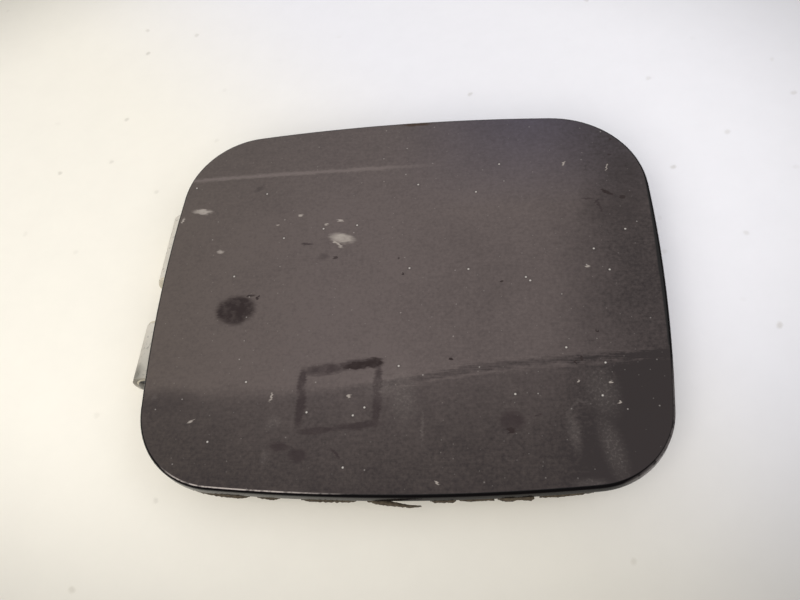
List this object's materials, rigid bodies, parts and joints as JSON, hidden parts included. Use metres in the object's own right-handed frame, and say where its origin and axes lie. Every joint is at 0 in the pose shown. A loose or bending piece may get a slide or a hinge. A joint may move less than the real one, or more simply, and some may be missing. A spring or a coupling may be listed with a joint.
{
  "type": "car fuel door",
  "caption": "Hinged car fuel door: crowned steel flap with a hemmed edge, inner panel, sprung hinge on a bolted base, and a latch striker.",
  "frame": {"origin": "midway between the two bolt holes, on the seating face of the hinge base", "axes": "+X from the hinge towards the free edge, +Y along the hinge line, +Z out of the door's face"},
  "size_m": [0.1844, 0.1502, 0.0239],
  "materials": {
    "dark_paint": "gloss paint under a dry dust film",
    "primer_paint": "semi-gloss dip paint",
    "hem_sealer": "dry, cracked",
    "mastic": "soft, matt",
    "zinc_plated_steel": "dull zinc with pale corrosion",
    "rivet_steel": "plated",
    "nylon": "natural, waxy",
    "die_cast_aluminium": "as cast",
    "pin_steel": "drawn and oiled",
    "spring_steel": "oiled wire",
    "yellow_zinc_steel": "yellow passivated",
    "bumper_rubber": "matt",
    "black_plastic": "fine moulded grain"
  },
  "bodies": {
    "base": {"hinge_base": "die_cast_aluminium", "hinge_pin": "pin_steel", "pin_clip": "spring_steel", "torsion_spring": "spring_steel"},
    "door": {"outer_skin": "dark_paint", "inner_panel": "primer_paint", "hem_sealer": "hem_sealer", "mastic_dabs": "mastic", "hinge_arm": "zinc_plated_steel", "arm_rivets": "rivet_steel", "bush_upper": "nylon", "bush_lower": "nylon", "latch_striker": "yellow_zinc_steel", "striker_rivets": "rivet_steel", "cap_holder": "black_plastic", "bumper_hinge_far": "bumper_rubber", "bumper_hinge_near": "bumper_rubber", "bumper_free_far": "bumper_rubber", "bumper_free_near": "bumper_rubber"}
  },
  "joints": [
    {"name": "door_swing", "type": "hinge", "parent": "base", "child": "door", "pos_m": [-0.024, 0, 0.0095], "axis": [0, -1, 0], "range_deg": [0, 100], "stiffness_Nm_per_rad": 0.03, "springref_deg": 143.24}
  ]
}
